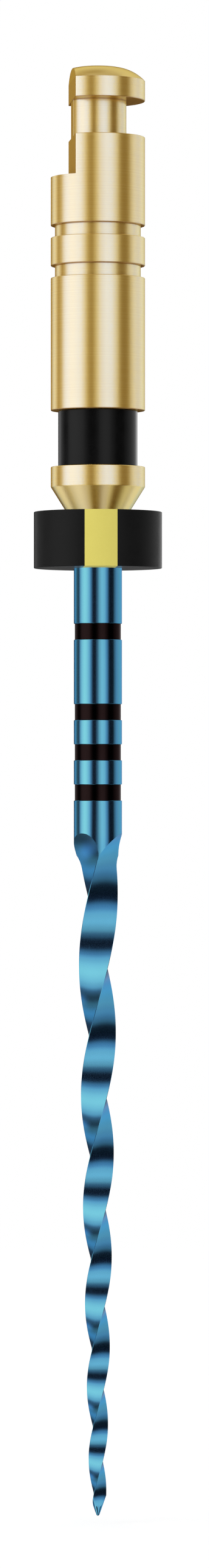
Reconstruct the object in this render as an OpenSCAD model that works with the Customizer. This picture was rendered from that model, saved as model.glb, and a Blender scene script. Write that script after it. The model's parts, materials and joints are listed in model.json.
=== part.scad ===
// Rotary endodontic file for a contra-angle handpiece.
// The tip of the file is at the origin and the handle stands above it along +Z.
// The drive flat of the latch faces -X, and the mark on the stop faces -Y.

/* [Handle] */
// Diameter of the latch shank
shank_d = 2.35; // [2.2:0.01:2.5]
// Height of the cone at the lower end of the handle
nose_h = 0.6; // [0.4:0.05:1]
// Diameter of the cone's lower end
nose_d = 1.6; // [1.5:0.05:1.9]
// Height of the collar below the colour ring
collar_h = 0.5; // [0.3:0.05:1]
// Length of the plain barrel above the colour ring
barrel_l = 3.3; // [2.5:0.1:6]
// Width of each identification groove
id_groove_w = 0.3; // [0.2:0.05:0.5]
// Depth of each identification groove
id_groove_depth = 0.105; // [0.05:0.005:0.15]
// Slope of each identification groove's floor, in degrees
id_groove_slope = 1; // [0.5:0.5:3]
// Number of identification grooves
id_groove_count = 2; // [1:1:4]
// Width of the land between two identification grooves
id_land_w = 0.7; // [0.4:0.1:1.2]
// Length of the round barrel above the identification grooves
upper_barrel_l = 1.2; // [0.6:0.1:3]

/* [Latch] */
// Distance from the axis to the drive flat
flat_r = 0.645; // [0.5:0.005:0.7]
// Length of the flat below the latch neck
flat_l = 1; // [0.6:0.1:2]
// Diameter of the latch neck
neck_d = 1.42; // [1.2:0.02:1.7]
// Length of the latch neck
neck_l = 0.9; // [0.6:0.05:1.2]
// Height of the latch head up to its rim
head_h = 0.5; // [0.3:0.05:0.8]
// Height of the domed end above the rim
dome_h = 0.35; // [0.15:0.05:0.6]
// Power of the dome's curve: higher is flatter in the middle
dome_power = 3.45; // [2:0.05:5]

/* [Colour ring] */
// Outer diameter of the colour ring
ring_d = 1.98; // [1.9:0.02:2.14]
// Thickness of the colour ring's wall
ring_wall = 0.115; // [0.08:0.005:0.15]
// Height of the colour ring
ring_h = 1.4; // [0.8:0.1:2.4]

/* [Wire] */
// Distance from the tip to the lower end of the handle
working_l = 25; // [24:0.5:31]
// Diameter of the wire above the flutes
wire_d = 1.2; // [1.12:0.01:1.25]
// Length of the wire inside the handle
tang_l = 5.5; // [3:0.1:5.8]
// Thickness of the adhesive round the tang
bond_t = 0.08; // [0.03:0.01:0.1]
// Thickness of the adhesive over the end of the tang
bond_end = 0.15; // [0.05:0.05:0.3]

/* [Flutes] */
// Distance from the tip to the top of the flutes
flute_l = 17; // [14:0.1:17.3]
// Diameter over the cutting edges, carried down to the tip
tip_d = 0.393; // [0.3:0.001:0.45]
// Growth of the diameter for each millimetre, at the tip
taper_tip = 0.0525; // [0.04:0.0005:0.058]
// Growth of the diameter for each millimetre, at the top of the flutes
taper_top = 0.0223; // [0.015:0.0001:0.03]
// Rise of an edge in one turn at the tip
lead_tip = 4.38; // [3.5:0.01:6]
// Rise of an edge in one turn at the top of the flutes
lead_top = 11.9; // [8:0.1:16]
// Angle of the first cutting edge at the tip
edge_angle = 70.5; // [0:0.5:120]
// Radius of the arc that each flute runs out along
runout_r = 1.17; // [0.8:0.01:1.6]
// Included angle of the tip's cone
tip_angle = 39; // [30:1:60]
// Radius of the tip's rounded end
tip_r = 0.042; // [0.02:0.002:0.07]

/* [Depth marks] */
// Distance from the tip to the first depth mark
mark_1_z = 18; // [17.7:0.1:18.2]
// Distance from the tip to the second depth mark
mark_2_z = 19; // [18.8:0.1:19.2]
// Distance from the tip to the third depth mark
mark_3_z = 20; // [19.8:0.1:20.4]
// Distance from the tip to the fourth depth mark
mark_4_z = 22; // [21.2:0.1:22.6]
// Width of each depth mark
mark_w = 0.4; // [0.2:0.05:0.5]
// Thickness of the ink in each depth mark
ink_t = 0.05; // [0.03:0.005:0.08]
// Depth of the ink's surface below the wire's
ink_recess = 0.025; // [0:0.005:0.05]

/* [Stop] */
// Outer diameter of the stop
stop_d = 3.2; // [2.8:0.1:4]
// Height of the stop
stop_h = 1.4; // [1:0.1:2]
// Width of the direction mark let into the stop
stop_mark_w = 0.81; // [0.5:0.01:1]
// Turn of the direction mark from the front of the file
stop_mark_turn = -2.6; // [-20:0.1:20]
// Clearance between the stop's bore and the wire, on the radius
stop_clear = 0.015; // [0.01:0.005:0.05]
// Gap between the stop and the lower end of the handle
stop_gap = 0.02; // [0.01:0.01:0.1]

/* [Hidden] */
$fn = 96;

// Amount by which a cut passes through the surface that it opens
over = 0.1;
shank_r = shank_d / 2;
wire_r = wire_d / 2;
bore_r = wire_r + bond_t;
seat_r = ring_d / 2 - ring_wall;
id_groove_r = shank_r - id_groove_depth;
id_groove_rise = id_groove_w * tan(id_groove_slope);

// Heights up the handle, from its lower end to the rim of the latch head
collar_z = working_l + nose_h;
ring_z = collar_z + collar_h;
barrel_z = ring_z + ring_h;
id_z = barrel_z + barrel_l;
id_pitch = id_groove_w + id_land_w;
upper_barrel_z = id_z + id_groove_count * id_pitch - id_land_w;
flat_z = upper_barrel_z + upper_barrel_l;
neck_z = flat_z + flat_l;
head_z = neck_z + neck_l;
rim_z = head_z + head_h;
bore_end_z = working_l + tang_l + bond_end;

// The flutes: each section is a triangle whose corners are the cutting edges
edges = 3;
face_steps = 6;
ring_step = 0.125;
runout_step = 0.0625;
face_share = cos(180 / edges);
lead_growth = (lead_top - lead_tip) / flute_l;
taper_loss = (taper_tip - taper_top) / (2 * flute_l);

// Diameter over the cutting edges at height z
function edge_d(z) = tip_d + taper_tip * z - taper_loss * z * z;

// Angle of the first cutting edge at height z
function edge_turn(z) = edge_angle + 360 / lead_growth * ln(1 + lead_growth * z / lead_tip);

// Height at which the flutes leave the taper and start to run out
runout_z = flute_l - sqrt(2 * runout_r * (wire_r - face_share * edge_d(flute_l) / 2));

// Distance from the axis to the middle of a face at height z
function face_r(z) = face_share * edge_d(z) / 2 + pow(max(0, z - runout_z), 2) / (2 * runout_r);

// One point on the outline of a section: face number, and the share of the way across that face
function face_point(z, face, share) =
    let (a = edge_turn(z) + face * 360 / edges, b = a + 360 / edges, r = face_r(z) / face_share)
    r * (1 - share) * [cos(a), sin(a)] + r * share * [cos(b), sin(b)];

// All points of the section at height z, placed at height at
function section(z, at) =
    [for (face = [0:edges - 1], i = [0:face_steps - 1]) concat(face_point(z, face, i / face_steps), at)];

// Heights of the sections, from below the tip to above the run-out
section_z = concat([for (z = [-over:ring_step:runout_z]) z],
                   [for (z = [runout_z + runout_step:runout_step:flute_l + over]) z]);

// The rounded tip's end on its cone
tip_half = tip_angle / 2;
tip_arc_steps = 6;
tip_cone_r = tip_r * cos(tip_half);
tip_cone_z = tip_r * (1 - sin(tip_half));
tip_top_z = tip_cone_z + (wire_r - tip_cone_r) / tan(tip_half);

mark_z = [mark_1_z, mark_2_z, mark_3_z, mark_4_z];
ink_r = wire_r - ink_recess;
mark_floor_r = ink_r - ink_t;

stop_z = working_l - stop_gap - stop_h;
stop_r = stop_d / 2;
stop_bore_r = wire_r + stop_clear;

// A ring of rectangular section with its lower face at height z
module washer(z, h, outer_r, inner_r) {
    translate([0, 0, z])
        difference() {
            cylinder(h = h, r = outer_r);
            translate([0, 0, -over])
                cylinder(h = h + 2 * over, r = inner_r);
        }
}

// Outline of the handle's right half, with the bore for the tang
module handle_profile() {
    dome_steps = 14;
    polygon(concat(
        [[bore_r, working_l], [nose_d / 2, working_l], [shank_r, collar_z], [shank_r, ring_z]],
        [[seat_r, ring_z], [seat_r, barrel_z], [shank_r, barrel_z]],
        [for (i = [0:id_groove_count - 1])
            let (low = id_z + i * id_pitch, high = low + id_groove_w)
            each [[shank_r, low], [id_groove_r, low], [id_groove_r + id_groove_rise, high], [shank_r, high]]],
        [[shank_r, neck_z], [neck_d / 2, neck_z], [neck_d / 2, head_z], [shank_r, head_z]],
        [for (i = [dome_steps:-1:0])
            let (share = sin(90 * i / dome_steps))
            [shank_r * share, rim_z + dome_h * (1 - pow(share, dome_power))]],
        [[0, bore_end_z], [bore_r, bore_end_z]]
    ));
}

// Turned brass handle with its drive flat and latch neck
module latch_handle() {
    flat_top_z = rim_z + dome_h + over;
    color("goldenrod")
        difference() {
            rotate_extrude()
                handle_profile();
            translate([-flat_r - shank_r, -shank_d, flat_z])
                cube([shank_r, 2 * shank_d, flat_top_z - flat_z]);
        }
}

// Elastic ring that gives the file's size by its colour
module colour_ring() {
    color([0.08, 0.08, 0.08])
        washer(ring_z, ring_h, ring_d / 2, seat_r);
}

// Outline of the round wire's right half before the flutes are ground
module wire_profile() {
    top_z = working_l + tang_l;
    polygon(concat(
        [for (i = [0:tip_arc_steps])
            let (t = (90 - tip_half) * i / tip_arc_steps)
            [tip_r * sin(t), tip_r * (1 - cos(t))]],
        [[wire_r, tip_top_z]],
        [for (z = mark_z)
            let (low = z - mark_w / 2, high = z + mark_w / 2)
            each [[wire_r, low], [mark_floor_r, low], [mark_floor_r, high], [wire_r, high]]],
        [[wire_r, top_z], [0, top_z]]
    ));
}

// What the grinding of the flutes leaves: a twisted prism that opens out past the wire at its top
module flute_faces() {
    count = edges * face_steps;
    last = len(section_z);
    points = concat(
        [for (z = section_z) each section(z, z)],
        section(section_z[last - 1], working_l + tang_l + over)
    );
    sides = [for (k = [0:last - 1], i = [0:count - 1])
        let (j = (i + 1) % count, low = k * count, high = low + count)
        each [[low + i, high + i, high + j], [low + i, high + j, low + j]]];
    bottom = [for (i = [0:count - 1]) i];
    top = [for (i = [count - 1:-1:0]) last * count + i];
    polyhedron(points, concat(sides, [bottom, top]));
}

// Nickel-titanium wire: tang, marked shaft and fluted blade in one piece
module file_wire() {
    color("steelblue")
        intersection() {
            rotate_extrude()
                wire_profile();
            flute_faces();
        }
}

// Adhesive that holds the tang in the handle's bore
module tang_bond() {
    color("beige")
        difference() {
            translate([0, 0, working_l])
                cylinder(h = bore_end_z - working_l, r = bore_r);
            translate([0, 0, working_l - over])
                cylinder(h = tang_l + over, r = wire_r);
        }
}

// Ink that fills one groove of the shaft
module depth_mark(z) {
    color([0.14, 0.09, 0.09])
        washer(z - mark_w / 2, mark_w, ink_r, mark_floor_r);
}

// Room for the direction mark, from the axis out past the stop's front
module stop_slot() {
    rotate([0, 0, stop_mark_turn])
        translate([-stop_mark_w / 2, -stop_r - over, stop_z - over])
            cube([stop_mark_w, stop_r + over, stop_h + 2 * over]);
}

// Silicone stop that slides on the shaft
module stop_disc() {
    color([0.12, 0.12, 0.12])
        difference() {
            washer(stop_z, stop_h, stop_r, stop_bore_r);
            stop_slot();
        }
}

// Coloured insert that shows which way the stop is turned
module stop_mark() {
    color("khaki")
        intersection() {
            washer(stop_z, stop_h, stop_r, stop_bore_r);
            stop_slot();
        }
}

latch_handle();
colour_ring();
file_wire();
tang_bond();
depth_mark(mark_1_z);  // depth_mark_1
depth_mark(mark_2_z);  // depth_mark_2
depth_mark(mark_3_z);  // depth_mark_3
depth_mark(mark_4_z);  // depth_mark_4
stop_disc();
stop_mark();
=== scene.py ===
# %% [markdown]
# A rotary root-canal file
#
# The object is a small dental instrument, 36 mm long. A turned gold handle goes into the handpiece, a
# blue wire with three twisted cutting edges does the work, four dark rings on the wire show how deep it
# is, and a rubber stop slides along the wire. The imported model already has every piece at its size and
# place, so this script only gives each piece a finer surface, a finish and a studio. Loading the model
# comes first.

# %% Load the frame
import json
import math

import bmesh
import bpy
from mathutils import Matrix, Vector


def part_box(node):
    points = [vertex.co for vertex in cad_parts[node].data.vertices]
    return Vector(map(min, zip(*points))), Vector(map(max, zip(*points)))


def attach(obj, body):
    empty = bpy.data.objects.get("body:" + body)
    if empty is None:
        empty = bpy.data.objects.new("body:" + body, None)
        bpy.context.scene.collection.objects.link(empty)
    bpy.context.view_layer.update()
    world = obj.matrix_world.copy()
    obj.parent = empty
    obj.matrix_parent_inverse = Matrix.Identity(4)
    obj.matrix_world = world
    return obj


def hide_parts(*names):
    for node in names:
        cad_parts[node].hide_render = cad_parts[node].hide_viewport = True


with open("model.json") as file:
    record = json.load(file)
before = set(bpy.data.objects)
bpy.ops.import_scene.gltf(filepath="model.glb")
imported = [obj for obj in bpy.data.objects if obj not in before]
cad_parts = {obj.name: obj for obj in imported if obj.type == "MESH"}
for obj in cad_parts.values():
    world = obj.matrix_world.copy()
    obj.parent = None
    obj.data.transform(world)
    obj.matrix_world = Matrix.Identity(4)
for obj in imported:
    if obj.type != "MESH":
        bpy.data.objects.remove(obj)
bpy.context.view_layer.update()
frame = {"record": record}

# %% [markdown]
# Sizes
#
# Blender's tools are easiest to follow when a piece is a few units across. The pieces are therefore
# modelled with one unit for a millimetre, and each is brought down to metres when it is finished.
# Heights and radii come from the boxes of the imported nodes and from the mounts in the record, so a
# changed handle moves its finish with it. Only what a box can't tell, such as the depth of a groove, is
# written down where it is used.

# %% Sizes from the frame, in millimetres
MM = 0.001

# How far a cutting tool reaches past what it cuts
OVERSHOOT = 0.2


def box_mm(node):
    """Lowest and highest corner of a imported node."""
    low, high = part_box(node)
    return low / MM, high / MM


def radius_mm(node):
    """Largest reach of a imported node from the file's axis."""
    low, high = box_mm(node)
    return max(-low.x, -low.y, high.x, high.y)


mounts = {mount["name"]: mount for mount in frame["record"]["mounts"]}
shank_r = mounts["latch_shank"]["dims"]["r_mm"]
neck_r = mounts["latch_neck"]["dims"]["r_mm"]
neck_l = mounts["latch_neck"]["dims"]["length_mm"]
neck_z = mounts["latch_neck"]["pos_m"][2] / MM - neck_l / 2
flat_r = -mounts["drive_flat"]["pos_m"][0] / MM
handle_z = box_mm("latch_handle")[0].z
apex_z = box_mm("latch_handle")[1].z
ring_z = box_mm("colour_ring")[0].z
barrel_z = box_mm("colour_ring")[1].z
ring_r = radius_mm("colour_ring")
wire_r = radius_mm("file_wire")
tang_z = box_mm("file_wire")[1].z
bore_r = radius_mm("tang_bond")
bore_z = box_mm("tang_bond")[1].z
print(f"shank {2 * shank_r:.3f}, wire {2 * wire_r:.3f}, handle from {handle_z:.2f} to {apex_z:.2f} mm")

# %% [markdown]
# Turning a piece on a lathe
#
# The handle, the ring, the marks and the stop are round, and on the real object they come off a lathe
# or out of a round mould. A cylinder could be cut and bevelled step by step, but the edges would be
# hard to pick again. Here one vertex is drawn out along half of the outline, the corners are rounded
# while they are still single vertices, and the spin tool turns the line into a closed surface. Shading
# then follows the larger faces, so a barrel stays straight in its reflections up to its rounded edge.

# %% Helpers for selecting and turning


def only(piece):
    """Leaves one object selected and active."""
    if bpy.context.object and bpy.context.object.mode != "OBJECT":
        bpy.ops.object.mode_set(mode="OBJECT")
    bpy.ops.object.select_all(action="DESELECT")
    piece.select_set(True)
    bpy.context.view_layer.objects.active = piece


def pick_vertices(piece, wanted):
    """Selects in edit mode the vertices whose place is wanted, and counts them."""
    mesh = bmesh.from_edit_mesh(piece.data)
    for vertex in mesh.verts:
        vertex.select_set(wanted(vertex.co))
    mesh.select_flush_mode()
    bmesh.update_edit_mesh(piece.data)
    return sum(vertex.select for vertex in mesh.verts)


def close_up(merge=1e-5):
    """Merges doubles all over the mesh that is being edited, and turns its faces outwards."""
    bpy.ops.mesh.select_all(action="SELECT")
    bpy.ops.mesh.remove_doubles(threshold=merge)
    bpy.ops.mesh.normals_make_consistent(inside=False)


def turned(name, outline, corners=(), corner_r=0.02, around=128):
    """A round piece: half its outline as (radius, height), some corners rounded, spun about the axis."""
    bpy.ops.object.select_all(action="DESELECT")
    bpy.ops.mesh.primitive_plane_add(size=0.1)
    piece = bpy.context.object
    piece.name = name
    bpy.ops.object.mode_set(mode="EDIT")
    bpy.ops.mesh.select_mode(type="VERT")
    bpy.ops.mesh.select_all(action="SELECT")
    bpy.ops.mesh.merge(type="CENTER")
    bpy.ops.transform.translate(value=(outline[0][0], 0, outline[0][1]))
    for (r0, z0), (r1, z1) in zip(outline, outline[1:]):
        bpy.ops.mesh.extrude_vertices_move(TRANSFORM_OT_translate={"value": (r1 - r0, 0, z1 - z0)})
    near = 1e-4
    if pick_vertices(piece, lambda at: any(math.hypot(at.x - r, at.z - z) < near for r, z in corners)):
        bpy.ops.mesh.bevel(offset=corner_r, segments=4, affect="VERTICES")
    bpy.ops.mesh.select_all(action="SELECT")
    bpy.ops.mesh.spin(steps=around, angle=math.tau, center=(0, 0, 0), axis=(0, 0, 1), use_auto_merge=True)
    close_up()
    bpy.ops.object.mode_set(mode="OBJECT")
    return piece


def combine(piece, tool, operation):
    """Cuts a piece with a tool, or keeps what they share, and removes the tool."""
    only(piece)
    bpy.ops.object.modifier_add(type="BOOLEAN")
    step = piece.modifiers[-1]
    step.operation = operation
    step.solver = "EXACT"
    step.object = tool
    bpy.ops.object.modifier_apply(modifier=step.name)
    bpy.data.objects.remove(tool)


# %% [markdown]
# Finishing a piece
#
# Every piece ends the same way: its faces are smoothed up to its sharp edges, it is brought from
# millimetres down to metres about the origin, it gets its finish, and it is tied to the body that
# carries it, while the imported node that it stands for is hidden.

# %% Helper for finishing


def finish_piece(piece, material, body, node, sharp=35, by_area=True):
    """Smooths a piece, brings it to its real size, ties it to its body and hides its imported node."""
    only(piece)
    bpy.ops.object.shade_smooth_by_angle(angle=math.radians(sharp))
    if by_area:
        bpy.ops.object.modifier_add(type="WEIGHTED_NORMAL")
        piece.modifiers[-1].keep_sharp = True
        bpy.ops.object.modifier_apply(modifier=piece.modifiers[-1].name)
    bpy.ops.transform.resize(value=(MM, MM, MM), center_override=(0, 0, 0))
    bpy.ops.object.transform_apply(location=True, rotation=True, scale=True)
    piece.data.materials.clear()
    piece.data.materials.append(material)
    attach(piece, body)
    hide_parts(node)
    print(f"{piece.name}: {len(piece.data.vertices)} vertices, {len(piece.data.polygons)} faces")
    return piece


# %% [markdown]
# Shader sums
#
# A finish is mostly arithmetic on a few patterns. One small class wraps the output of a node, so that a
# sum in the script adds its Math nodes, and one method makes any other node from its settings and
# inputs.

# %% A socket that can be calculated with


class Wire:
    """The output of a node in a tree, with the sums that the finishes use."""

    def __init__(self, tree, socket=None):
        self.tree = tree
        self.socket = socket

    def node(self, kind, settings=None, inputs=None, output=0):
        """Adds a node: its settings first, then the values or links of its inputs."""
        made = self.tree.nodes.new(kind)
        for name, value in (settings or {}).items():
            if name == "stops":
                ramp = made.color_ramp.elements
                while len(ramp) < len(value):
                    ramp.new(1.0)
                for stop, (place, level) in zip(ramp, value):
                    stop.position = place
                    stop.color = level
            elif name == "interpolation":
                made.color_ramp.interpolation = value
            else:
                setattr(made, name, value)
        for key, value in (inputs or {}).items():
            if isinstance(value, Wire):
                self.tree.links.new(value.socket, made.inputs[key])
            else:
                made.inputs[key].default_value = value
        return Wire(self.tree, made.outputs[output] if made.outputs else None)

    def sum(self, operation, *values):
        """A Math node on some values or links."""
        return self.node("ShaderNodeMath", {"operation": operation}, dict(enumerate(values)))

    def __add__(self, other):
        return self.sum("ADD", self, other)

    def __sub__(self, other):
        return self.sum("SUBTRACT", self, other)

    def __rsub__(self, other):
        return self.sum("SUBTRACT", other, self)

    def __mul__(self, other):
        return self.sum("MULTIPLY", self, other)

    def __truediv__(self, other):
        return self.sum("DIVIDE", self, other)

    def ramp(self, low, high, start=0.0, end=1.0):
        """Goes smoothly from start to end as this value goes from low to high."""
        inputs = {0: self, 1: low, 2: high, 3: start, 4: end}
        return self.node("ShaderNodeMapRange", {"interpolation_type": "SMOOTHSTEP"}, inputs)

    def mix(self, first, second):
        """A colour that goes from the first to the second as this value goes from 0 to 1."""
        inputs = {0: self, 6: first, 7: second}
        return self.node("ShaderNodeMix", {"data_type": "RGBA"}, inputs, output=2)


def new_finish(name):
    """An empty material, and the wire that its nodes are made from."""
    material = bpy.data.materials.new(name)
    material.use_nodes = True
    material.node_tree.nodes.clear()
    return material, Wire(material.node_tree)


def stretched_noise(wire, scale, detail=2.0, roughness=0.5):
    """Noise on the piece's own coordinates, with so many cells to the metre along each axis."""
    place = wire.node("ShaderNodeTexCoord", output="Object")
    place = wire.node("ShaderNodeMapping", {}, {"Vector": place, "Scale": scale})
    inputs = {"Vector": place, "Scale": 1.0, "Detail": detail, "Roughness": roughness}
    return wire.node("ShaderNodeTexNoise", {}, inputs)


# %% [markdown]
# Gold
#
# The handle is brass, turned, and plated with gold. Its bright bands are nearly white and its dark ones
# deep brown, which a single gold mirror can't show. So two surfaces are mixed: a soft deep gold for the
# satin ground, and a golden metal for the plating, whose bright bands cool cards in the studio make
# whiter. Thin lines round the axis, the marks of the lathe, are a little rougher and lighter than the
# rest, so they show where the metal mirrors a dark gap. The milled flat has none. The cone's gold is
# darker and warmer, a painted shade for its downward face, and the dome's is brighter and warmer, a
# painted light for its upward face. The narrow faces that look down, under the head, the barrel and the
# grooves' upper edges, are painted dull brown, a painted shade under those edges.

# %% The gold finish
nose_h = 0.6
id_groove_w = 0.3
id_groove_z = [barrel_z + 3.3, barrel_z + 4.3]
flat_below_neck = 1.0
head_rim_h = 0.5
head_z = neck_z + neck_l
rim_z = head_z + head_rim_h
flat_z = neck_z - flat_below_neck
# Heights of the faces that look down, where the gold gets a painted shade
undersides = [head_z, barrel_z] + [groove_z + id_groove_w for groove_z in id_groove_z]


def gold_finish():
    """Gold plating on turned brass: a satin ground and a bright plating, with the marks of the lathe."""
    material, wire = new_finish("gold_brass")
    place = wire.node("ShaderNodeTexCoord", output="Object")
    aside = wire.node("ShaderNodeSeparateXYZ", {}, {0: place}) / MM
    height = wire.node("ShaderNodeSeparateXYZ", {}, {0: place}, output=2) / MM

    cone_top = handle_z + nose_h
    # The cone's colours below are darker and warmer, a painted shade for its downward face over the stop
    cone = height.ramp(cone_top - 0.02, cone_top + 0.02, 1, 0)
    # The dome's colours below are brighter and warmer, painted light for its upward face
    dome = height.ramp(rim_z - 0.01, rim_z + 0.03)
    # Narrow bands at the faces that look down, painted dull brown as painted shade under the edges above
    distance = wire.sum("ABSOLUTE", height - undersides[0])
    for underside in undersides[1:]:
        distance = wire.sum("MINIMUM", distance, wire.sum("ABSOLUTE", height - underside))
    painted_under_shade = distance.ramp(0.01, 0.03, 1, 0)
    milled = wire.sum("ABSOLUTE", aside + flat_r).ramp(0.005, 0.015, 1, 0)
    milled = milled * height.ramp(flat_z - 0.01, flat_z)

    lines = stretched_noise(wire, (20.0, 20.0, 30000.0), detail=1.0) * (1 - milled)
    scratches = lines.ramp(0.38, 0.68)
    bump = wire.node("ShaderNodeBump", {}, {"Strength": 0.01, "Distance": 2e-6, "Height": lines})
    cloud = stretched_noise(wire, (500.0, 500.0, 400.0))
    clouded = cloud.ramp(0.3, 0.7)
    ground = clouded.mix((0.86, 0.445, 0.037, 1), (0.88, 0.465, 0.043, 1))
    ground = scratches.mix(ground, (0.92, 0.51, 0.055, 1))
    plating = clouded.mix((0.88, 0.78, 0.49, 1), (0.89, 0.80, 0.51, 1))
    # Lit and shaded copies of the gold: painted shade on the cone and the undersides, painted light on
    # the dome
    for part, ground_there, plating_there in (
            (cone, (0.60, 0.30, 0.03, 1), (0.90, 0.82, 0.48, 1)),
            (dome, (0.95, 0.52, 0.05, 1), (0.92, 0.84, 0.42, 1)),
            (painted_under_shade, (0.62, 0.31, 0.05, 1), (0.54, 0.43, 0.32, 1))):
        ground = part.mix(ground, ground_there)
        plating = part.mix(plating, plating_there)

    satin = wire.node("ShaderNodeBsdfPrincipled", {}, {
        "Base Color": ground, "Roughness": 0.6, "Specular IOR Level": 0.0, "Normal": bump})
    bright = wire.node("ShaderNodeBsdfPrincipled", {}, {
        "Base Color": plating, "Metallic": 1.0, "Roughness": scratches.ramp(0, 1, 0.185, 0.215),
        "Specular Tint": (0.86, 0.82, 0.50, 1), "Normal": bump})
    bright_share = cloud.ramp(0.2, 0.8, 0.61, 0.63)
    both = wire.node("ShaderNodeMixShader", {}, {0: bright_share, 1: satin, 2: bright})
    wire.node("ShaderNodeOutputMaterial", {}, {"Surface": both})
    return material


gold = gold_finish()
print("made", gold.name)

# %% [markdown]
# Blue heat-treated alloy
#
# The wire is nickel-titanium. Heat treatment leaves a thin oxide on it, which gives the metal its blue:
# light blue where it mirrors a lamp, and deep blue beside it. Two metals are mixed for that, a smooth
# light one and a rougher deep one. The round shaft keeps faint marks round its axis, and the ground
# flutes keep faint marks along it and are a little bluer, so patterns and colours swap at the top of
# the flutes.

# %% The blue finish
flute_z = 17.0
flute_fade = 0.4


def blue_finish():
    """Blue oxide on the alloy: a light smooth metal and a deep rough one, with marks of the grinding."""
    material, wire = new_finish("blue_alloy")
    place = wire.node("ShaderNodeTexCoord", output="Object")
    height = wire.node("ShaderNodeSeparateXYZ", {}, {0: place}, output=2)
    on_shaft = height.ramp((flute_z - flute_fade) * MM, flute_z * MM)
    rings = stretched_noise(wire, (100.0, 100.0, 38000.0), detail=3.0, roughness=0.6)
    strokes = stretched_noise(wire, (36000.0, 36000.0, 500.0), detail=3.0, roughness=0.6)
    lines = on_shaft * rings + (1 - on_shaft) * strokes
    film = stretched_noise(wire, (700.0, 700.0, 300.0)).ramp(0.3, 0.7)
    light = on_shaft.mix(
        film.mix((0.122, 0.510, 0.715, 1), (0.130, 0.528, 0.730, 1)),
        film.mix((0.138, 0.545, 0.715, 1), (0.146, 0.565, 0.730, 1)))
    deep = on_shaft.mix(
        film.mix((0.114, 0.234, 0.45, 1), (0.123, 0.248, 0.48, 1)),
        film.mix((0.130, 0.250, 0.45, 1), (0.140, 0.265, 0.48, 1)))
    scratches = lines.ramp(0.55, 0.75)
    bump = wire.node("ShaderNodeBump", {}, {"Strength": 0.04, "Distance": 2e-6, "Height": lines})
    smooth = wire.node("ShaderNodeBsdfPrincipled", {}, {
        "Base Color": light, "Metallic": 1.0, "Roughness": scratches.ramp(0, 1, 0.13, 0.18),
        "Specular Tint": (0.44, 0.62, 0.95, 1), "Normal": bump})
    rough = wire.node("ShaderNodeBsdfPrincipled", {}, {
        "Base Color": deep, "Metallic": 1.0, "Roughness": scratches.ramp(0, 1, 0.29, 0.34),
        "Specular Tint": (0.34, 0.58, 0.76, 1), "Normal": bump})
    smooth_share = film.ramp(0, 1, 0.64, 0.66)
    both = wire.node("ShaderNodeMixShader", {}, {0: smooth_share, 1: rough, 2: smooth})
    wire.node("ShaderNodeOutputMaterial", {}, {"Surface": both})
    return material


blue = blue_finish()
print("made", blue.name)

# %% [markdown]
# Silicone, ring, ink and adhesive
#
# The stop is matt silicone with a fine moulded grain, and its mark is the same silicone in yellow. The
# ring in the handle is smoother. Ring and stop are both glossier towards their outlines, where they
# catch more light. The ink of the marks is baked into the metal, which keeps its shine and turns almost
# black and slightly brown. The adhesive only shows as a thin line inside the handle's lower end. They
# differ only in colour, gloss and grain, so one recipe makes them all.

# %% The moulded finishes


def moulded_finish(
        name, dark, light, roughness, grain, bump_height,
        gloss=0.5, metallic=0.0, edge=(1, 1, 1), rim=0.0):
    """A soft or baked material: two close colours, a roughness that follows them, maybe a glossy rim."""
    material, wire = new_finish(name)
    fine = stretched_noise(wire, (grain, grain, grain), detail=3.0, roughness=0.6)
    broad_grain = grain / 12
    broad = stretched_noise(wire, (broad_grain, broad_grain, broad_grain))
    tone = (fine * 0.4 + broad * 0.6).ramp(0.3, 0.7)
    bump = wire.node("ShaderNodeBump", {}, {"Strength": 0.15, "Distance": bump_height, "Height": fine})
    inputs = {
        "Base Color": tone.mix((*dark, 1), (*light, 1)), "Roughness": tone.ramp(0, 1, *roughness),
        "Metallic": metallic, "Specular IOR Level": gloss, "Specular Tint": (*edge, 1), "Normal": bump}
    if rim:
        facing = wire.node("ShaderNodeLayerWeight", output="Facing")
        inputs["Coat Weight"] = facing.ramp(0.6, 0.85, 0, rim)
        inputs["Coat Roughness"] = 0.15
    surface = wire.node("ShaderNodeBsdfPrincipled", {}, inputs)
    wire.node("ShaderNodeOutputMaterial", {}, {"Surface": surface})
    return material


black_silicone = moulded_finish(
    "stop_black", (0.005, 0.005, 0.005), (0.007, 0.007, 0.007), (0.46, 0.54), 16000.0, 3e-6,
    gloss=0.20, rim=0.36)
yellow_silicone = moulded_finish(
    "stop_yellow", (0.845, 0.74, 0.155), (0.875, 0.77, 0.17), (0.5, 0.56), 16000.0, 2e-6, gloss=0.3)
ring_rubber = moulded_finish(
    "ring_black", (0.004, 0.004, 0.004), (0.006, 0.006, 0.006), (0.18, 0.24), 20000.0, 1e-6,
    gloss=0.2, rim=1.0)
ink = moulded_finish(
    "mark_ink", (0.016, 0.0085, 0.0085), (0.019, 0.0105, 0.0105), (0.14, 0.20), 24000.0, 1e-6,
    metallic=1.0, edge=(0.63, 0.60, 0.60))
adhesive = moulded_finish("adhesive", (0.62, 0.55, 0.38), (0.70, 0.64, 0.47), (0.35, 0.45), 9000.0, 3e-6)
moulded = (black_silicone, yellow_silicone, ring_rubber, ink, adhesive)
print("made", ", ".join(material.name for material in moulded))

# %% [markdown]
# The handle
#
# The handle is turned from one bar: a cone below, a seat for the colour ring, a plain barrel, two
# grooves that tell the taper, and the latch end with its neck and domed head. A blind bore takes the
# wire. All of that is one outline for the lathe helper. Only the flat on the latch isn't round, and it
# is milled off afterwards with a block, as on the real part.

# %% Outline of the handle
nose_r = 0.8
ring_wall = 0.115
seat_r = ring_r - ring_wall
id_groove_depth = 0.105
id_groove_r = shank_r - id_groove_depth
dome_power = 3.45
dome_steps = 24

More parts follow.
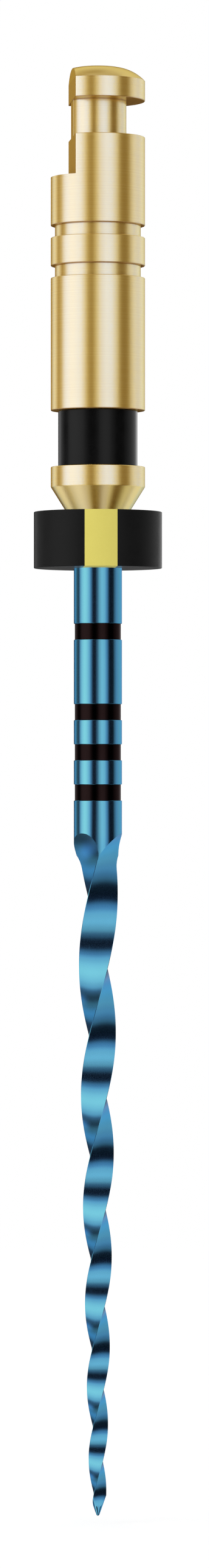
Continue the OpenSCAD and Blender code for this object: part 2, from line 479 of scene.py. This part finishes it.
handle_line = [(0, bore_z), (bore_r, bore_z), (bore_r, handle_z), (nose_r, handle_z)]
handle_line += [(shank_r, handle_z + nose_h), (shank_r, ring_z), (seat_r, ring_z), (seat_r, barrel_z)]
handle_line += [(shank_r, barrel_z)]
for groove_z in id_groove_z:
    groove_top = groove_z + id_groove_w
    handle_line += [(shank_r, groove_z), (id_groove_r, groove_z)]
    handle_line += [(id_groove_r, groove_top), (shank_r, groove_top)]
handle_line += [(shank_r, neck_z), (neck_r, neck_z), (neck_r, head_z), (shank_r, head_z)]
rounded = [point for point in handle_line if abs(point[0] - shank_r) < 1e-6] + [(nose_r, handle_z)]
for i in range(dome_steps, -1, -1):
    share = math.sin(math.pi / 2 * i / dome_steps)
    handle_line.append((shank_r * share, rim_z + (apex_z - rim_z) * (1 - share ** dome_power)))
print(f"{len(handle_line)} points in the handle's outline")

# %% Turn the handle and mill its flat
handle = turned("handle_turned", handle_line, rounded, corner_r=0.018, around=192)
block_l = apex_z - flat_z + OVERSHOOT
bpy.ops.object.select_all(action="DESELECT")
bpy.ops.mesh.primitive_cube_add(
    size=1,
    location=(-flat_r - shank_r / 2, 0, flat_z + block_l / 2),
    scale=(shank_r, 4 * shank_r, block_l))
combine(handle, bpy.context.object, "DIFFERENCE")
finish_piece(handle, gold, "file", "latch_handle")

# %% [markdown]
# The colour ring
#
# A thin elastic ring sits in the seat of the handle, and its colour stands for the size of the file. It
# is pushed on over the barrel, so its edges are soft. It is a closed outline for the lathe helper.

# %% Mould the colour ring
ring_line = [(seat_r, ring_z), (ring_r, ring_z), (ring_r, barrel_z), (seat_r, barrel_z), (seat_r, ring_z)]
ring = turned("ring_moulded", ring_line, ring_line[1:3], corner_r=0.03, around=160)
finish_piece(ring, ring_rubber, "file", "colour_ring")

# %% [markdown]
# The wire and its flutes
#
# The wire starts as a round bar with a rounded tip and four shallow grooves for the marks, and a
# grinding wheel then cuts three flat flutes that wind round it. What the wheel leaves is a three-sided
# prism that twists, tapers towards the tip and opens out at the top. A screw modifier can't change its
# rise on the way, so the prism is drawn section by section: each is extruded, turned and resized. The
# wire is what the bar and the prism share.

# %% The law of the flutes
tip_d = 0.393
taper_tip = 0.0525
taper_top = 0.0223
lead_tip = 4.38
lead_top = 11.9
edge_angle = 70.5
runout_r = 1.17
face_share = math.cos(math.pi / 3)
lead_growth = (lead_top - lead_tip) / flute_z
taper_loss = (taper_tip - taper_top) / (2 * flute_z)


def edge_d(z):
    """Diameter over the cutting edges at a height."""
    return tip_d + taper_tip * z - taper_loss * z * z


def edge_turn(z):
    """Angle of the first cutting edge at a height, in degrees."""
    return edge_angle + 360 / lead_growth * math.log(1 + lead_growth * z / lead_tip)


runout_z = flute_z - math.sqrt(2 * runout_r * (wire_r - face_share * edge_d(flute_z) / 2))


def edge_r(z):
    """Distance from the axis to an edge at a height, with the run-out at the top."""
    return edge_d(z) / 2 + max(0.0, z - runout_z) ** 2 / (2 * runout_r * face_share)


print(f"edges {edge_d(0):.3f} to {edge_d(flute_z):.3f} mm apart, run-out from {runout_z:.2f} mm")

# %% Draw the twisted prism
land = 0.02
land_r = math.hypot(1 - land * math.cos(math.pi / 6), land / 2)
face_cuts = 9
shortest_face = 0.5
section_step = 0.09
below_tip = 0.1
section_count = int((flute_z + 2 * below_tip) / section_step) + 1
sections = [-below_tip + section_step * i for i in range(section_count)]

bpy.ops.object.select_all(action="DESELECT")
bpy.ops.mesh.primitive_circle_add(vertices=3, radius=1 / land_r, fill_type="NGON")
prism = bpy.context.object
prism.name = "flute_prism"
bpy.ops.object.mode_set(mode="EDIT")
bpy.ops.mesh.select_mode(type="VERT")
bpy.ops.mesh.select_all(action="SELECT")
bpy.ops.mesh.bevel(offset=land / land_r, segments=1, affect="VERTICES")
bpy.ops.mesh.select_mode(type="EDGE")
shape = bmesh.from_edit_mesh(prism.data)
for edge in shape.edges:
    edge.select_set(edge.calc_length() > shortest_face)
bmesh.update_edit_mesh(prism.data)
bpy.ops.mesh.subdivide(number_cuts=face_cuts)
bpy.ops.mesh.select_mode(type="FACE")
bpy.ops.mesh.select_all(action="SELECT")

z = sections[0]
first_corner = 90.0
bpy.ops.transform.translate(value=(0, 0, z))
bpy.ops.transform.resize(value=(edge_r(z), edge_r(z), 1), center_override=(0, 0, z))
bpy.ops.transform.rotate(
    value=-math.radians(edge_turn(z) - first_corner), orient_axis="Z", center_override=(0, 0, z))
for lower, upper in zip(sections, sections[1:]):
    growth = edge_r(upper) / edge_r(lower)
    twist = math.radians(edge_turn(upper) - edge_turn(lower))
    bpy.ops.mesh.extrude_region_move(TRANSFORM_OT_translate={"value": (0, 0, upper - lower)})
    bpy.ops.transform.resize(value=(growth, growth, 1), center_override=(0, 0, upper))
    bpy.ops.transform.rotate(value=-twist, orient_axis="Z", center_override=(0, 0, upper))
prism_end = tang_z + OVERSHOOT - sections[-1]
bpy.ops.mesh.extrude_region_move(TRANSFORM_OT_translate={"value": (0, 0, prism_end)})
close_up()
bpy.ops.object.mode_set(mode="OBJECT")
print(f"{len(sections)} sections, {len(prism.data.polygons)} faces in the prism")

# %% [markdown]
# The bar and the marks
#
# The bar is turned with the lathe helper, from the rounded end of the tip up to the tang that the
# handle hides. Each mark is a ring of ink in its own groove. One ring is turned, and copies of it go to
# the other grooves.

# %% Turn the bar and keep what the prism leaves
tip_angle = 39
tip_half = math.radians(tip_angle / 2)
tip_r = 0.042
tip_steps = 8
mark_nodes = ["depth_mark_1", "depth_mark_2", "depth_mark_3", "depth_mark_4"]
mark_boxes = [box_mm(node) for node in mark_nodes]
ink_r = radius_mm(mark_nodes[0])
ink_t = 0.05
ink_floor_r = ink_r - ink_t

bar_line = []
for i in range(tip_steps + 1):
    lean = (math.pi / 2 - tip_half) * i / tip_steps
    bar_line.append((tip_r * math.sin(lean), tip_r * (1 - math.cos(lean))))
cone_r, cone_z = bar_line[-1]
bar_line.append((wire_r, cone_z + (wire_r - cone_r) / math.tan(tip_half)))
groove_edges = []
for low, high in mark_boxes:
    groove_edges += [(wire_r, low.z), (wire_r, high.z)]
    bar_line += [(wire_r, low.z), (ink_floor_r, low.z), (ink_floor_r, high.z), (wire_r, high.z)]
bar_line += [(wire_r, tang_z), (0, tang_z)]
blade = turned("wire_ground", bar_line, groove_edges, corner_r=0.012, around=144)
combine(blade, prism, "INTERSECT")
only(blade)
bpy.ops.object.mode_set(mode="EDIT")
close_up(merge=1e-4)
bpy.ops.object.mode_set(mode="OBJECT")
finish_piece(blade, blue, "file", "file_wire", sharp=30, by_area=False)

# %% Turn one mark and copy it
low, high = mark_boxes[0]
ink_line = [(ink_floor_r, low.z), (ink_r, low.z), (ink_r, high.z), (ink_floor_r, high.z)]
ink_line.append(ink_line[0])
first_mark = turned("mark_ring_1", ink_line, ink_line[1:3], corner_r=0.006, around=144)
marks = [first_mark]
for number, (low, high) in enumerate(mark_boxes[1:], 2):
    only(first_mark)
    bpy.ops.object.duplicate(linked=False)
    copy = bpy.context.object
    copy.name = f"mark_ring_{number}"
    bpy.ops.object.mode_set(mode="EDIT")
    bpy.ops.mesh.select_all(action="SELECT")
    bpy.ops.transform.translate(value=(0, 0, low.z - mark_boxes[0][0].z))
    bpy.ops.object.mode_set(mode="OBJECT")
    marks.append(copy)
for mark, node in zip(marks, mark_nodes):
    finish_piece(mark, ink, "file", node)

# %% [markdown]
# The stop
#
# The stop is a rubber ring that grips the wire. A yellow strip is moulded into it from the bore to the
# outside and shows which way the bend of the file points. The ring is turned once and copied, and one
# block then cuts the room out of the black ring and the strip out of its copy, so the two meet exactly.

# %% Mould the stop and its mark
stop_low, stop_high = box_mm("stop_disc")
stop_r = radius_mm("stop_disc")
stop_clearance = 0.015
stop_bore_r = wire_r + stop_clearance
strip_w = 0.81
strip_turn = math.radians(-2.6)


def strip_block():
    """The room of the yellow strip, from the axis out past the front of the stop."""
    reach = stop_r + OVERSHOOT
    height = stop_high.z - stop_low.z + 1
    middle_z = (stop_low.z + stop_high.z) / 2
    middle = (reach / 2 * math.sin(strip_turn), -reach / 2 * math.cos(strip_turn), middle_z)
    bpy.ops.object.select_all(action="DESELECT")
    bpy.ops.mesh.primitive_cube_add(
        size=1, location=middle, rotation=(0, 0, strip_turn), scale=(strip_w, reach, height))
    return bpy.context.object


stop_line = [(stop_bore_r, stop_low.z), (stop_r, stop_low.z)]
stop_line += [(stop_r, stop_high.z), (stop_bore_r, stop_high.z)]
stop_line.append(stop_line[0])
stop_ring = turned("stop_moulded", stop_line, stop_line[1:3], corner_r=0.018, around=192)
only(stop_ring)
bpy.ops.object.duplicate(linked=False)
stop_strip = bpy.context.object
stop_strip.name = "stop_strip"
combine(stop_ring, strip_block(), "DIFFERENCE")
combine(stop_strip, strip_block(), "INTERSECT")
finish_piece(stop_ring, black_silicone, "stop", "stop_disc")
finish_piece(stop_strip, yellow_silicone, "stop", "stop_mark")
stop_ring.visible_glossy = False
stop_strip.visible_glossy = False

# %% [markdown]
# The adhesive
#
# The adhesive round the tang is hidden, and only a thin ring of it can be seen from below when the stop
# is down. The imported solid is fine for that, so it stays and only gets its finish.

# %% Finish the adhesive
bond = bpy.data.objects["tang_bond"]
bond.data.materials.clear()
bond.data.materials.append(adhesive)
print("finished", bond.name)

# %% [markdown]
# The floor and the studio
#
# The photograph is a product shot on white: two tall soft lights stand in front, left and right of the
# camera, with dark gaps beside them, and metal shows them as upright bands. Lamps could stand for the
# lights, but the bands need soft edges of their own. So the world carries them: seen straight on it is
# white, mirrored in the object it is the studio, and for soft light it is an even grey-white. Low down
# the bands are a second set, which turns dark behind the object. Overhead hangs a grey ceiling, and
# high up behind stands a bright wall. One lamp on the left gives the rubber some shape.

# %% A pale floor
floor_r = 0.08
floor_z = -0.0002
floor_lift = 0.37

bpy.ops.object.select_all(action="DESELECT")
bpy.ops.mesh.primitive_circle_add(vertices=96, radius=floor_r, fill_type="NGON", location=(0, 0, floor_z))
floor = bpy.context.object
floor.name = "floor"
bpy.ops.object.transform_apply(location=True, rotation=True, scale=True)
floor.visible_glossy = False

floor_finish, sheet = new_finish("floor_white")
speckle = stretched_noise(sheet, (900.0, 900.0, 900.0))
paper = speckle.ramp(0.3, 0.7).mix((0.82, 0.82, 0.82, 1), (0.84, 0.84, 0.84, 1))
matt = sheet.node("ShaderNodeBsdfDiffuse", {}, {"Color": paper})
seen = sheet.node("ShaderNodeLightPath", output="Is Camera Ray")
lift = sheet.node("ShaderNodeEmission", {}, {"Strength": seen * floor_lift})
whole = sheet.node("ShaderNodeAddShader", {}, {0: matt, 1: lift})
sheet.node("ShaderNodeOutputMaterial", {}, {"Surface": whole})
floor.data.materials.append(floor_finish)
print("floor", floor_r * 2, "m across")

# %% The camera's place
camera_turn = math.radians(-5.6)
camera_height = 18.212 * MM
camera_away = 135.3 * MM
camera_aside = 0.165 * MM
towards_camera = (math.sin(camera_turn), -math.cos(camera_turn))
to_the_right = (math.cos(camera_turn), math.sin(camera_turn))

camera_data = bpy.data.cameras.new("camera")
camera_data.sensor_width = 36.0
camera_data.lens = 124.8
camera_data.clip_start = 0.001
camera = bpy.data.objects.new("camera", camera_data)
camera.location = (
    towards_camera[0] * camera_away + to_the_right[0] * camera_aside,
    towards_camera[1] * camera_away + to_the_right[1] * camera_aside,
    camera_height)
camera.rotation_euler = (math.pi / 2, 0, camera_turn)
bpy.context.scene.collection.objects.link(camera)
bpy.context.scene.camera = camera
print("camera at", [round(value, 5) for value in camera.location])

# %% The studio world
studio = [
    (-180, 0.02), (-158, 0.05), (-147, 0.40), (-140, 0.48), (-124, 0.28), (-112, 0.05), (-100, 0.12),
    (-90, 0.72), (-80, 0.92), (-66, 1.0), (-54, 0.95), (-44, 0.79), (-34, 0.27), (-24, 0.0), (-12, 0.0),
    (-2, 0.15), (8, 0.66), (20, 0.90), (32, 0.80), (44, 0.32), (57, 0.0), (78, 0.01), (92, 0.25),
    (108, 0.45), (125, 0.62), (145, 0.76), (160, 0.66), (174, 0.22), (180, 0.02)]
from_below = [
    (-180, 0.03), (-160, 0.05), (-146, 0.20), (-130, 0.70), (-118, 0.60), (-106, 0.20), (-96, 0.50),
    (-84, 0.86), (-72, 1.04), (-60, 0.94), (-48, 0.70), (-36, 0.28), (-26, 0.0), (0, 0.0), (8, 0.18),
    (17, 0.50), (28, 0.74), (40, 0.58), (52, 0.16), (60, 0.0), (80, 0.0), (88, 0.06), (98, 0.29),
    (109, 0.53), (120, 0.78), (132, 1.0), (148, 1.0), (165, 0.5), (180, 0.05)]
studio_level = 1.18
high_share = 0.45
under_loss = 0.85
ceiling_level = 0.42
behind_level = 0.75
soft_level = 0.74

world = bpy.data.worlds.new("studio")
bpy.context.scene.world = world
world.use_nodes = True
world.node_tree.nodes.clear()
world.cycles.sampling_method = "NONE"
sky = Wire(world.node_tree)
way = sky.node("ShaderNodeTexCoord", output="Generated")


def share_along(axis):
    """How far a direction of the world goes along a level axis."""
    inputs = {0: way, 1: (*axis, 0)}
    return sky.node("ShaderNodeVectorMath", {"operation": "DOT_PRODUCT"}, inputs, output=1)


along = share_along(towards_camera)
across = share_along(to_the_right)
up = sky.node("ShaderNodeSeparateXYZ", {}, {0: way}, output=2)
way_round = sky.sum("ARCTAN2", across, along) / math.tau + 0.5


def band_ramp(places):
    """The level of the studio round the object, from (angle from the camera, level)."""
    stops = [((angle + 180) / 360, (level, level, level, 1)) for angle, level in places]
    return sky.node("ShaderNodeValToRGB", {"stops": stops, "interpolation": "EASE"}, {0: way_round})


low_share = up.ramp(-0.85, -0.5, 1, 0)
bands = band_ramp(studio) * up.ramp(0.3, 0.95, studio_level, studio_level * high_share)
bands = bands * (1 - low_share) + band_ramp(from_below) * low_share
ceiling = up.ramp(0.92, 1.0)
behind = along.ramp(-0.8, -0.2, 1, 0) * up.ramp(0.3, 0.6)
under = along.ramp(-0.35, -0.1, 1, 0) * up.ramp(-0.68, -0.48, 1, 0)
mirrored = bands * (1 - ceiling) * (1 - under * under_loss) * (1 - behind)
mirrored = mirrored + ceiling * ceiling_level + behind * behind_level

from_camera = sky.node("ShaderNodeLightPath", output="Is Camera Ray")
glossy = sky.node("ShaderNodeLightPath", output="Is Glossy Ray")
through = sky.node("ShaderNodeLightPath", output="Is Transmission Ray")
shiny = sky.sum("MAXIMUM", glossy, through)
lit = shiny * mirrored + (1 - shiny) * soft_level
strength = from_camera + (1 - from_camera) * lit
background = sky.node("ShaderNodeBackground", {}, {"Color": (1, 1, 1, 1), "Strength": strength})
sky.node("ShaderNodeOutputWorld", {}, {"Surface": background})
print("studio of", len(studio), "stops")

# %% A lamp on the left


def area_lamp(name, width, tall, energy, turn, away, height):
    """A rectangular lamp that stands at an angle from the camera's side and faces the file's axis."""
    data = bpy.data.lights.new(name, "AREA")
    data.shape = "RECTANGLE"
    data.size = width
    data.size_y = tall
    data.energy = energy
    standing = bpy.data.objects.new(name, data)
    axes = zip(towards_camera, to_the_right)
    level_place = [away * (front * math.cos(turn) + right * math.sin(turn)) for front, right in axes]
    standing.location = (*level_place, height)
    standing.rotation_euler = (math.pi / 2, 0, camera_turn + turn)
    bpy.context.scene.collection.objects.link(standing)
    return standing


lamp = area_lamp(
    "left_lamp", width=0.08, tall=0.16, energy=0.085, turn=math.radians(-66), away=0.16, height=0.035)
lamp.visible_glossy = False
print("lamp at", [round(value, 4) for value in lamp.location])

# %% [markdown]
# Coloured cards
#
# A photographer puts coloured cards beside a metal piece, so that it keeps its colour where a bright
# band turns into a dark one. Narrow area lamps stand for the cards here. For the handle there are
# golden ones between its bands and cool ones that make the bands themselves whiter, and for the wire
# deep blue ones and one warm one that turns its brightest band towards cyan. Each fades towards its
# edges, lights its own piece alone and shows only in its gloss. Many are tall. Two cream ones lie low,
# where only the cone at the handle's end mirrors them, and a pale blue one lies low for the flutes. A
# white one stands behind the stop and shows under it.

# %% Colours, reaches and places of the cards
golden = (1.0, 0.91, 0.36)
cool = (0.0, 0.26, 1.0)
cream = (1.0, 0.96, 0.86)
deep_blue = (0.02, 0.30, 1.0)
pale_blue = (0.48, 0.58, 1.0)
warm = (1.0, 0.70, 0.0)
white = (1.0, 1.0, 1.0)

# Lower and upper end of a card in metres, from the lower end of the handle
tall_reach = (-0.25, 0.25)
level_reach = (-0.05, 0.09)
short_reach = (-0.02, 0.08)
low_reach = (-0.19, 0.0)
flute_reach = (-0.13, -0.02)

# Each card as its angle from the camera, half its width in degrees, and its level
card_groups = [
    (handle, cool, level_reach, [
        (-137, 22, 0.55), (-84, 18, 0.82), (-63, 24, 0.73), (-43, 18, 0.77), (9, 16, 0.42),
        (29, 26, 0.82), (104, 24, 0.38), (132, 32, 0.54), (156, 24, 0.30)]),
    (handle, golden, short_reach, [(-129, 18, 0.36)]),
    (handle, golden, tall_reach, [
        (-99, 14, 0.22), (-32, 17, 0.40), (-1, 15, 0.37), (46, 17, 0.39), (98, 26, 0.36),
        (132, 22, 0.16)]),
    (handle, cream, low_reach, [(-126, 32, 0.62), (128, 34, 0.20)]),
    (blade, deep_blue, tall_reach, [
        (-138, 14, 0.13), (-96, 11, 0.10), (-36, 12, 0.18), (-2, 10, 0.06), (43, 14, 0.20),
        (101, 22, 0.13)]),
    (blade, pale_blue, flute_reach, [(-118, 16, 0.48)]),
    (blade, warm, tall_reach, [(-66, 24, 0.27)]),
    (stop_ring, white, short_reach, [(180, 32, 0.13)])]
print(len(card_groups), "groups of cards")

# %% Cards for the handle, the wire and the stop
card_away = 0.15
watts_per_level = 4
alone = {}
for piece in (handle, blade, stop_ring):
    alone[piece.name] = bpy.data.collections.new(f"{piece.name}_alone")
    alone[piece.name].objects.link(piece)


def fade_to_ends(wire, direction):
    """Falls from 1 in the middle of a lamp to 0 at its ends, across it (0) or up it (1)."""
    spot = wire.node("ShaderNodeNewGeometry", output="Parametric")
    place = wire.node("ShaderNodeSeparateXYZ", {}, {0: spot}, output=direction)
    return wire.sum("ABSOLUTE", place - 0.5).ramp(0, 0.5, 1, 0)


def add_card(name, piece, colour, reach, angle, half_width, level):
    """A lamp that shows as a soft card in the gloss of one piece. A low one also fades up and down."""
    bottom, top = reach
    width = 2 * card_away * math.tan(math.radians(half_width))
    energy = watts_per_level * level * width * (top - bottom)
    middle_z = handle_z * MM + (bottom + top) / 2
    card = area_lamp(name, width, top - bottom, energy, math.radians(angle), card_away, middle_z)
    card.data.color = colour
    card.data.use_nodes = True
    card.data.node_tree.nodes.clear()
    wire = Wire(card.data.node_tree)
    fade = fade_to_ends(wire, 0)
    if top <= 0:
        fade = fade * fade_to_ends(wire, 1)
    glow = wire.node("ShaderNodeEmission", {}, {"Strength": fade})
    wire.node("ShaderNodeOutputLight", {}, {"Surface": glow})
    card.visible_camera = False
    card.visible_diffuse = False
    card.light_linking.receiver_collection = alone[piece.name]
    card.light_linking.blocker_collection = alone[piece.name]


card_count = 0
for piece, colour, reach, places in card_groups:
    for angle, half_width, card_level in places:
        card_count += 1
        add_card(f"card_{card_count}", piece, colour, reach, angle, half_width, card_level)
print(card_count, "cards")

# %% [markdown]
# The last look
#
# Colours are shown as they are written, so the view transform is Standard.

# %% The view transform
bpy.context.scene.view_settings.view_transform = "Standard"
